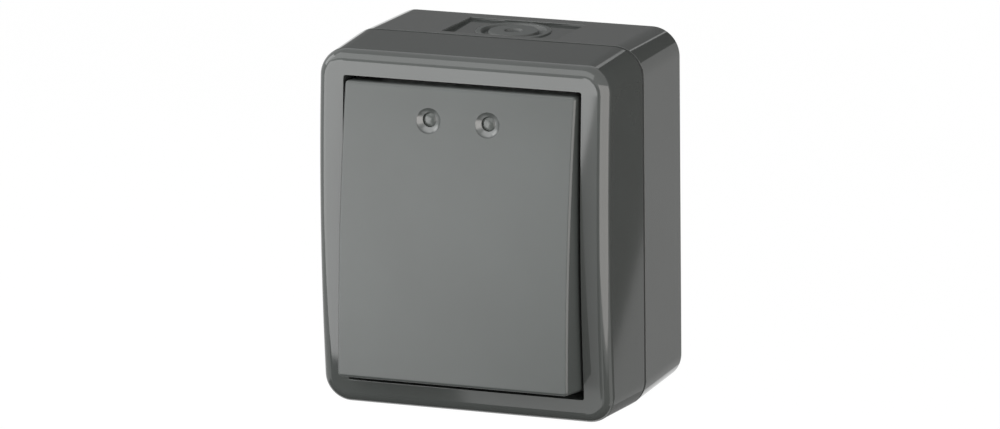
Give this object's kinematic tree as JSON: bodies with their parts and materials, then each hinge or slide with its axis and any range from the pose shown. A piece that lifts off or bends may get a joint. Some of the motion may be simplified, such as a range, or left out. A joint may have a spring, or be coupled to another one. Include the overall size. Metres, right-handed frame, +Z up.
{
  "type": "surface mounted light switch",
  "caption": "Surface mounted damp-proof rocker light switch with sunken cable entries, two indicator windows and a rocking contact mechanism.",
  "frame": {"origin": "centre of the back face, on the wall", "axes": "+Y into the wall, front faces -Y, +Z up, +X right seen from the front"},
  "size_m": [0.066, 0.0494, 0.077],
  "materials": {
    "housing_plastic": "smooth semi-gloss",
    "rocker_plastic": "smooth satin",
    "grommet_rubber": "matt",
    "seal_rubber": "matt",
    "insulating_plastic": "satin",
    "brass": "satin",
    "plated_steel": "bright plated",
    "board": "satin",
    "lamp_glass": "clear",
    "lens_plastic": "clear smoky"
  },
  "bodies": {
    "housing": {"rear_box": "housing_plastic", "front_cover": "housing_plastic", "box_gasket": "seal_rubber", "top_entry_grommet": "grommet_rubber", "bottom_entry_grommet": "grommet_rubber", "sealing_membrane": "seal_rubber", "cover_screws": "plated_steel", "mechanism_base": "insulating_plastic", "mechanism_plate": "insulating_plastic", "mechanism_rivets": "brass", "mechanism_screws": "plated_steel", "common_contact": "brass", "upper_contact": "brass", "lower_contact": "brass", "terminal_clamps": "plated_steel", "terminal_screws": "plated_steel", "lamp_board": "board", "pilot_lamp_left": "lamp_glass", "pilot_lamp_right": "lamp_glass", "lamp_leads": "plated_steel"},
    "rocker": {"rocker": "rocker_plastic", "lens_left": "lens_plastic", "lens_right": "lens_plastic", "actuator": "insulating_plastic", "plunger_spring": "plated_steel"},
    "plunger": {"plunger": "insulating_plastic"},
    "contact_bridge": {"contact_bridge": "brass"}
  },
  "joints": [
    {"name": "rocker_tilt", "type": "hinge", "parent": "housing", "child": "rocker", "pos_m": [0, -0.034, 0], "axis": [1, 0, 0], "range_deg": [0, 11.8]},
    {"name": "bridge_tilt", "type": "hinge", "parent": "housing", "child": "contact_bridge", "pos_m": [0, -0.017, 0], "axis": [1, 0, 0], "range_deg": [-8.26, 0]},
    {"name": "plunger_slide", "type": "slide", "parent": "rocker", "child": "plunger", "axis": [0, -0.9947, 0.1028], "range_m": [0, 0.0008], "stiffness_N_per_m": 400, "springref_m": -0.002, "deforming": ["plunger_spring"]}
  ],
  "couplings": [
    {"joint": "bridge_tilt", "follows": "rocker_tilt", "ratio": -0.7}
  ]
}
